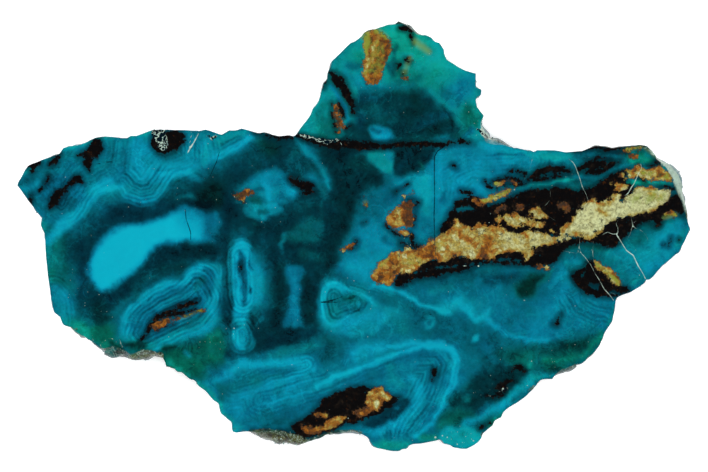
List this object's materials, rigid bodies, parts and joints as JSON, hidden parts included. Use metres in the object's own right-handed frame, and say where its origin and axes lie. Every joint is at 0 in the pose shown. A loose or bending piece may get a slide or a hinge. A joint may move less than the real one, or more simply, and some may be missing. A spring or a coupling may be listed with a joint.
{
  "type": "polished chrysocolla slab",
  "caption": "Flat sawn and polished slab of blue-green chrysocolla in chalcedony, with a broken natural outline and a sawn back to rest on.",
  "frame": {"origin": "middle of the sawn back, under the middle of the slab's outline", "axes": "+Z out of the polished face, +X along the slab's long side, +Y towards the crown lobe"},
  "size_m": [0.101, 0.0646, 0.006],
  "materials": {
    "chrysocolla": "polished"
  },
  "bodies": {
    "root": {"slab": "chrysocolla"}
  },
  "joints": []
}
